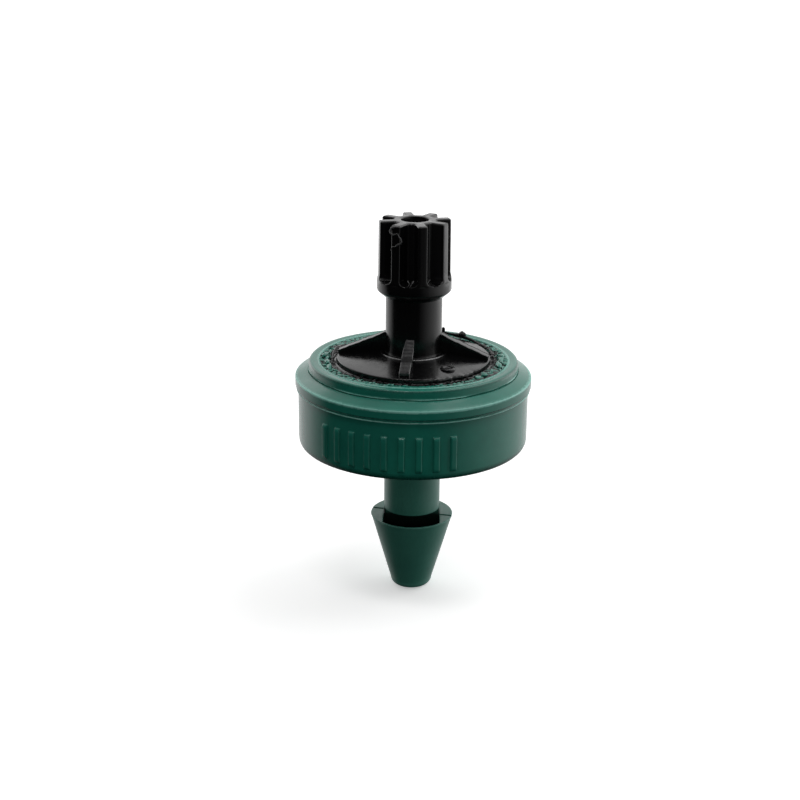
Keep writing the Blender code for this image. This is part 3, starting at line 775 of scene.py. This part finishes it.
def cracked_land(inner_r, outer_r, low_z, crest_z, cells, seed, columns=1080, rows=34):
    """Ring of folded plastic: smooth lumps with cracks between them, painted darker as painted shade.

    Cell noise over angle and radius: with d1 and d2 the distances to the nearest and the
    second nearest of the scattered centres, a lump stands by its own random height times
    1 - exp(-((d2 - d1) / w)^2).  Right of the front the ring reaches in under the cover, where it is painted
    darker, a painted shade.
    """
    random = np.random.default_rng(seed)
    jitter = random.uniform(-0.1, 1.1, (*cells, 2))
    heights = random.uniform(0.0, 1.0, cells)
    t = around(columns)[None, :] + np.zeros((rows, 1))
    v = np.linspace(0.0, 1.0, rows)[:, None] + 0.0 * t
    tongue = np.exp(-((degrees_from_front(t) - 60.0) / 16.0) ** 4)
    inner = inner_r - 0.26 * tongue
    r = inner + (outer_r - inner) * v
    size_t, size_v = TAU * outer_r / cells[0], (outer_r - inner_r) / cells[1]
    at_t, at_v = t / TAU * cells[0], v * cells[1] + 0.4 * random_sheet(t, v, 40, 3, seed + 1)
    first, second = np.full(t.shape, 9.0), np.full(t.shape, 9.0)
    tall = np.zeros(t.shape)
    for step_t in (-1, 0, 1):
        for step_v in (-1, 0, 1):
            column, row = np.floor(at_t).astype(int) + step_t, np.floor(at_v).astype(int) + step_v
            cell = (column % cells[0], row % cells[1])
            away = np.hypot((column + jitter[cell][..., 0] - at_t) * size_t,
                            (row + jitter[cell][..., 1] - at_v) * size_v)
            tall = np.where(away < first, heights[cell], tall)
            second = np.minimum(second, np.maximum(first, away))
            first = np.minimum(first, away)
    crack = np.exp(-((second - first) / 0.07) ** 2)
    arch = np.clip(np.minimum(v / 0.22, (1 - v) / 0.10), 0.0, 1.0) ** 0.5
    torn = torn_share(t) ** 1.5
    rise = (crest_z - low_z) * arch * (0.45 + 0.55 * torn)
    z = low_z + rise + torn * arch * (0.16 * tall - 0.20) * (1 - crack)
    z = z - 0.20 * crack * torn * arch - 0.25 * torn * arch * first + 0.14 * tongue * arch
    # Painted light: the taller lumps get the lighter colour as a painted highlight; cracks and the part under
    # the cover get the dark colour as painted shade.
    lump_top_highlight = (0.30 * tall + 0.1) * torn * (1 - crack)
    edge = lump_top_highlight - 3.0 * crack * torn - 1.2 * tongue * np.clip(0.75 - v, 0.0, 1.0)
    top = np.stack([r * np.cos(t), r * np.sin(t), z], axis=-1)
    under = np.stack([r * np.cos(t), r * np.sin(t), np.full_like(r, low_z - 0.12)], axis=-1)[[-1, 0]]
    return shell(np.concatenate([top, under]), np.concatenate([edge, 0 * edge[:2]]), wrap_rows=True)


def flakes(count, seed, radii, heights, sizes, arcs, lean=0.9, shape=(1.7, 0.6, 0.5), swing=1.2):
    """Torn flakes: small closed lumps, drawn out and turned at random, along a ring.

    Each is a ball grid of 6 by 8 points pushed in and out.  arcs are spans of the
    angle from the camera's side, in degrees, plus to the right.
    """
    random = np.random.default_rng(seed)
    shells = []
    lat = np.linspace(0.0, math.pi, 6)[:, None]
    lon = around(8)[None, :]
    ball = np.stack([np.sin(lat) * np.cos(lon), np.sin(lat) * np.sin(lon), np.cos(lat) + 0 * lon], axis=-1)
    for _ in range(count):
        low, high = arcs[random.integers(len(arcs))]
        t = math.radians(random.uniform(low, high) - 90.0) + VIEW_AZIMUTH
        radius = random.uniform(*radii)
        size = random.uniform(*sizes)
        stretch = np.array(shape) * random.uniform(0.6, 1.3, 3)
        push = 1.0 + random.uniform(-0.30, 0.30, (6, 8, 1))
        push[0], push[-1] = 1.0, 1.0
        turn = Euler((random.uniform(-lean, lean), random.uniform(-lean, lean) * 0.6,
                      t + math.pi / 2 + random.uniform(-swing, swing))).to_matrix()
        local = ball * push * stretch * size
        centre = np.array([radius * math.cos(t), radius * math.sin(t), random.uniform(*heights)])
        shells.append(shell(local @ np.array(turn).T + centre, 0.4))
    return shells


def cord(path, radius):
    """Thin bead on the nose's flank through (angle from the camera's side, radius, z) points.

    A circle is carried along the smoothed path and shrinks to nothing at both ends.
    radius is one number, or one for each point of the path.
    """
    table = np.array(path, float)
    s = np.linspace(0, len(table) - 1, 8 * len(table))
    smooth = np.stack([np.interp(s, np.arange(len(table)), table[:, i]) for i in range(3)], axis=-1)
    smooth[2:-2] = (smooth[:-4] + smooth[1:-3] + smooth[2:-2] + smooth[3:-1] + smooth[4:]) / 5
    t = np.radians(smooth[:, 0] - 90.0) + VIEW_AZIMUTH
    centre = np.stack([smooth[:, 1] * np.cos(t), smooth[:, 1] * np.sin(t), smooth[:, 2]], axis=-1)
    along = np.gradient(centre, axis=0)
    along /= np.linalg.norm(along, axis=1, keepdims=True)
    out = np.stack([np.cos(t), np.sin(t), 0 * t], axis=-1)
    beside = np.cross(along, out)
    beside /= np.linalg.norm(beside, axis=1, keepdims=True)
    thick = np.interp(s, np.arange(len(table)), np.broadcast_to(radius, len(table)))
    taper = thick * np.sin(np.linspace(0.12, math.pi - 0.12, len(s))) ** 0.5
    turn = around(10)[None, :, None]
    circle = np.cos(turn) * out[:, None] + np.sin(turn) * beside[:, None]
    loops = centre[:, None] + taper[:, None, None] * circle
    return capped(list(loops), [np.full(10, 0.6)] * len(loops))


BURR_CURL = [(-22.0, 2.38, 15.28), (-31.0, 2.43, 15.30), (-39.0, 2.44, 15.18), (-40.5, 2.45, 14.88),
             (-35.0, 2.46, 14.74), (-28.0, 2.45, 14.88)]
BURR_TEAR = [(-27.0, 2.45, 14.88), (-25.5, 2.46, 14.70), (-22.0, 2.46, 14.56), (-20.5, 2.46, 14.36),
             (-22.5, 2.46, 14.22), (-28.0, 2.46, 14.12), (-31.0, 2.46, 14.00), (-36.5, 2.45, 13.97),
             (-39.5, 2.44, 13.70)]


RIM_TEAR_RIGHT = [(168, 5.40, 6.02), (162, 5.42, 6.16), (158, 5.42, 6.22), (152, 5.42, 6.18),
                  (147, 5.42, 6.16), (142, 5.42, 6.20), (137, 5.42, 6.12), (130, 5.44, 6.06),
                  (124, 5.38, 6.02), (116, 5.46, 6.00), (108, 5.40, 5.98), (100, 5.48, 5.95),
                  (92, 5.38, 5.94), (84, 5.46, 5.90)]
RIM_TEAR_RIGHT_SIZE = [0.05, 0.11, 0.16, 0.09, 0.14, 0.18, 0.12, 0.10, 0.07, 0.10, 0.06, 0.09, 0.06, 0.07]
RIM_TEAR_LEFT = [(-120, 5.40, 5.96), (-113, 5.40, 6.04), (-107, 5.36, 6.10),
                 (-101, 5.38, 6.04), (-95, 5.42, 5.96), (-86, 5.42, 5.90)]
RIM_TEAR_LEFT_SIZE = [0.06, 0.11, 0.14, 0.12, 0.08, 0.06]


def pip(degrees, radius):
    """Low dished button: a small turned shell moved out onto the cover's face."""
    corners = [(0.0, 5.90), (0.53, 5.90, 0.0), (0.50, 6.25, 0.06), (0.34, 6.29, 0.06),
               (0.24, 6.22, 0.05), (0.0, 6.21)]
    points, faces, edges = lathe(corners, around(40), arc_points=5, side_points=2, closed=False)
    return points + np.array(at_angle(degrees, radius, 0.0)), faces, edges * 0.5


BLOB_WAVE = 0.18


def blob(centre, size, seed, turn=0.0):
    """Round lump of plastic: an ellipsoid with a few slow waves on it."""
    random = np.random.default_rng(seed)
    lat = np.linspace(0.0, math.pi, 16)[:, None]
    lon = around(24)[None, :]
    a, b, c = random.uniform(0, TAU, 3)
    push = 1 + BLOB_WAVE * (np.sin(2 * lon + a) * np.sin(lat) + 0.7 * np.sin(3 * lat + b) * np.sin(lat)
                        + 0.6 * np.sin(5 * lon + c) * np.sin(lat) ** 2)
    local = np.stack([np.sin(lat) * np.cos(lon), np.sin(lat) * np.sin(lon), np.cos(lat) + 0 * lon], axis=-1)
    local = local * push[..., None] * np.array(size)
    spun = np.array(Euler((0, 0, turn)).to_matrix())
    return shell(local @ spun.T + np.array(centre), 0.3)


def at_angle(degrees, radius, z):
    """Point at an angle from the front, plus to the right seen from the front."""
    t = math.radians(degrees - 90.0)
    return radius * math.cos(t), radius * math.sin(t), z


# ==================================== build ====================================
cup = piece("housing_cup", [housing_cup()], GREEN)
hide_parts("housing")
piece("housing_barb", [barb(), stem()], BARB_GREEN_WITH_SHEEN, crease=30.0)
piece("mark_bars", mark_bars(), GREEN, crease=60.0)

turning = piece("cover_face_and_neck", [cover_turning()], BLACK)
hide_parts("outlet_cover")
piece("cover_nose", [nose()], BLACK, crease=42.0)
ribs = [rib(TAU * k / RIBS, RIB_FOOT_R, RIB_TOP_Z, 30 + k) for k in range(RIBS - 1)]
ribs.append(rib(-TAU / 4, 4.75, RIB_TOP_Z, 33, notch=(3.62, 0.40)))
ribs.append(blob(at_angle(0.5, 3.28, 6.62), (0.46, 0.13, 0.14), 34))
piece("cover_ribs", ribs, BLACK)
piece("cover_pip", [pip(41.5, 3.95)], BLACK)
piece("nose_burr", [cord(BURR_CURL, 0.07), cord(BURR_TEAR, 0.05)], BURR)

bead = [rough_band(FACE_R + 0.09, WELD_BEAD_R, WELD_FOOT_Z, 5.74, 41, 80, 0.07, 0.25)]
bead += [cord(RIM_TEAR_RIGHT, RIM_TEAR_RIGHT_SIZE), cord(RIM_TEAR_LEFT, RIM_TEAR_LEFT_SIZE)]
bead.append(blob(at_angle(148.5, 5.42, 6.32), (0.27, 0.20, 0.22), 42, turn=0.6))
bead.append(blob(at_angle(164.5, 5.45, 6.42), (0.15, 0.12, 0.16), 43))
piece("weld_bead_black", bead, TORN_BLACK, crease=32.0)
piece("weld_land_green", [cracked_land(WELD_R, MOUTH_R + 0.12, WELD_FOOT_Z, RING_TOP_Z + 0.12, (62, 3), 51)],
      TORN_GREEN, crease=50.0)
ALL_ROUND = [(-180, 180)]
SIDES = [(-112, -55), (50, 108)]
SLIVER = (2.2, 0.70, 0.50)
crumbs = flakes(34, 61, (5.28, 5.60), (5.74, 5.84), (0.07, 0.13), [(-60, 42)])
crumbs += flakes(16, 62, (5.28, 5.50), (5.92, 6.02), (0.07, 0.13), [(84, 130)], shape=(2.2, 0.7, 0.6))
crumbs += flakes(8, 64, (4.95, 5.50), (6.02, 6.12), (0.08, 0.14), [(-110, -94)], shape=(1.8, 0.9, 0.7))
piece("weld_crumbs_black", crumbs, TORN_BLACK, crease=50.0)
chips = flakes(22, 71, (5.66, 6.06), (5.94, 6.00), (0.14, 0.22), SIDES, lean=0.25, shape=SLIVER, swing=0.4)
chips += flakes(40, 72, (5.66, 6.02), (5.78, 5.84), (0.07, 0.13), ALL_ROUND)
piece("weld_chips_green", chips, TORN_GREEN, crease=60.0)

for cad_name, finish in (("labyrinth_disc", INSERT), ("diaphragm", SILICONE)):
    cad_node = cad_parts[cad_name]
    cad_node.data.materials.clear()
    cad_node.data.materials.append(finish)


# ================================= floor, light, camera =================================
def plain(name, colour, roughness, near_glow, far_glow):
    """Plain finish for the floor, with light of its own, more of it far away, to stay white."""
    mat = bpy.data.materials.new(name)
    mat.use_nodes = True
    shader = mat.node_tree.nodes["Principled BSDF"]
    shader.inputs["Base Color"].default_value = (*colour, 1.0)
    shader.inputs["Roughness"].default_value = roughness
    shader.inputs["Specular IOR Level"].default_value = 0.0
    shader.inputs["Emission Color"].default_value = (*colour, 1.0)
    where = node(mat.node_tree, "ShaderNodeTexCoord").outputs["Object"]
    away = node(mat.node_tree, "ShaderNodeVectorMath", {"Vector": where}, operation="LENGTH").outputs["Value"]
    glow = ramp(mat.node_tree, away, [(0.06, near_glow), (0.30, far_glow)])
    mat.node_tree.links.new(glow, shader.inputs["Emission Strength"])
    return mat


def studio_floor():
    """Pale floor under the barb's tip."""
    half = 3.0
    mesh = bpy.data.meshes.new("floor")
    z = TIP_Z * MM
    corners = [(-half, -half, z), (half, -half, z), (half, half, z), (-half, half, z)]
    mesh.from_pydata(corners, [], [(0, 1, 2, 3)])
    mesh.materials.append(plain("floor paper", (0.93, 0.93, 0.93), 0.9, 0.42, 1.0))
    floor = bpy.data.objects.new("floor", mesh)
    bpy.context.scene.collection.objects.link(floor)
    floor.visible_glossy = False
    floor.visible_diffuse = False


WALLS_OF_TENT = [(-180, 1.0), (-125, 1.0), (-104, 0.5), (-92, 0.012), (18, 0.012), (38, 0.16), (60, 0.45),
                 (84, 0.8), (104, 1.0), (180, 1.0)]
ROOF_LEVEL = 0.55
ROOF_SPAN = (38, 58)


def soft_light(name, azimuth, elevation, distance, size, strength):
    """Area light aimed at the body; strength is its brightness, whatever its size."""
    a, e = math.radians(azimuth), math.radians(elevation)
    offset = Vector((math.sin(a) * math.cos(e), -math.cos(a) * math.cos(e), math.sin(e))) * distance
    data = bpy.data.lights.new(name, "AREA")
    data.shape = "RECTANGLE"
    data.size, data.size_y = size
    data.energy = strength * math.pi * size[0] * size[1]
    lamp = bpy.data.objects.new(name, data)
    target = Vector((0.0, 0.0, 2.0 * MM))
    lamp.location = target + offset
    lamp.rotation_euler = (-offset).to_track_quat("-Z", "Y").to_euler()
    bpy.context.scene.collection.objects.link(lamp)
    return lamp


def studio_world():
    """Light tent with a dark front: brightness by compass angle and height.

    The camera sees plain white; the body sees white cloth behind, to the right and
    overhead, and a dark room in front.
    """
    world = bpy.data.worlds.new("studio")
    bpy.context.scene.world = world
    world.use_nodes = True
    tree = world.node_tree
    direction = node(tree, "ShaderNodeTexCoord").outputs["Generated"]
    turned_back = node(tree, "ShaderNodeVectorRotate", {"Vector": direction, "Angle": -VIEW_AZIMUTH},
                       rotation_type="Z_AXIS").outputs["Vector"]
    axes = node(tree, "ShaderNodeSeparateXYZ", {"Vector": turned_back}).outputs
    forward = math_node(tree, "MULTIPLY", axes["Y"], -1.0)
    compass = math_node(tree, "ARCTAN2", axes["X"], forward)
    share = math_node(tree, "ADD", math_node(tree, "DIVIDE", compass, TAU), 0.5)
    stops = [((angle + 180) / 360, level) for angle, level in WALLS_OF_TENT]
    walls = ramp(tree, share, stops)
    height = math_node(tree, "ADD", math_node(tree, "MULTIPLY", axes["Z"], 0.5), 0.5)
    eaves, crown = ((math.sin(math.radians(angle)) + 1) / 2 for angle in ROOF_SPAN)
    roof = ramp(tree, height, [(eaves, 0.0), (crown, 1.0)])
    foot = ramp(tree, height, [(0.08, 0.0), (0.35, 1.0)])
    standing = mix_colour(tree, foot, (0.0, 0.0, 0.0), walls)
    light = mix_colour(tree, roof, standing, (ROOF_LEVEL, ROOF_LEVEL, ROOF_LEVEL))
    seen = node(tree, "ShaderNodeLightPath").outputs["Is Camera Ray"]
    background = tree.nodes["Background"]
    tree.links.new(mix_colour(tree, seen, light, (1.0, 1.0, 1.0)), background.inputs["Color"])
    background.inputs["Strength"].default_value = 1.0


def fitted_camera():
    """Camera on the fitted line of sight, rolled slightly."""
    data = bpy.data.cameras.new("camera")
    data.lens = LENS
    data.sensor_width = SENSOR
    data.clip_start = CLIP_NEAR
    data.clip_end = CLIP_FAR
    camera = bpy.data.objects.new("camera", data)
    a, e = VIEW_AZIMUTH, VIEW_ELEVATION
    back = Vector((math.sin(a) * math.cos(e), -math.cos(a) * math.cos(e), math.sin(e)))
    target = Vector((0.0, 0.0, VIEW_TARGET_Z * MM))
    right = Vector((math.cos(a), math.sin(a), 0.0))
    shift_left = right * (-VIEW_SHIFT * MM)
    camera.location = target + back * VIEW_DISTANCE * MM + shift_left
    turn = (-back).to_track_quat("-Z", "Y").to_matrix() @ Euler((0, 0, VIEW_ROLL)).to_matrix()
    camera.rotation_euler = turn.to_euler()
    bpy.context.scene.collection.objects.link(camera)
    bpy.context.scene.camera = camera


studio_floor()
studio_world()
soft_light("right_back_soft", 128, 14, 0.30, (0.16, 0.30), 0.9)
soft_light("left_back_soft", -135, 14, 0.30, (0.14, 0.30), 0.72)
soft_light("top_soft", 112, 60, 0.35, (0.24, 0.24), 1.7)
soft_light("top_front_strip", -12, 68, 0.30, (0.11, 0.035), 9.0)
fill = soft_light("front_fill", -8, 13, 0.40, (0.36, 0.16), 1.1)
fill.visible_glossy = False
fitted_camera()
bpy.context.scene.view_settings.view_transform = "Standard"
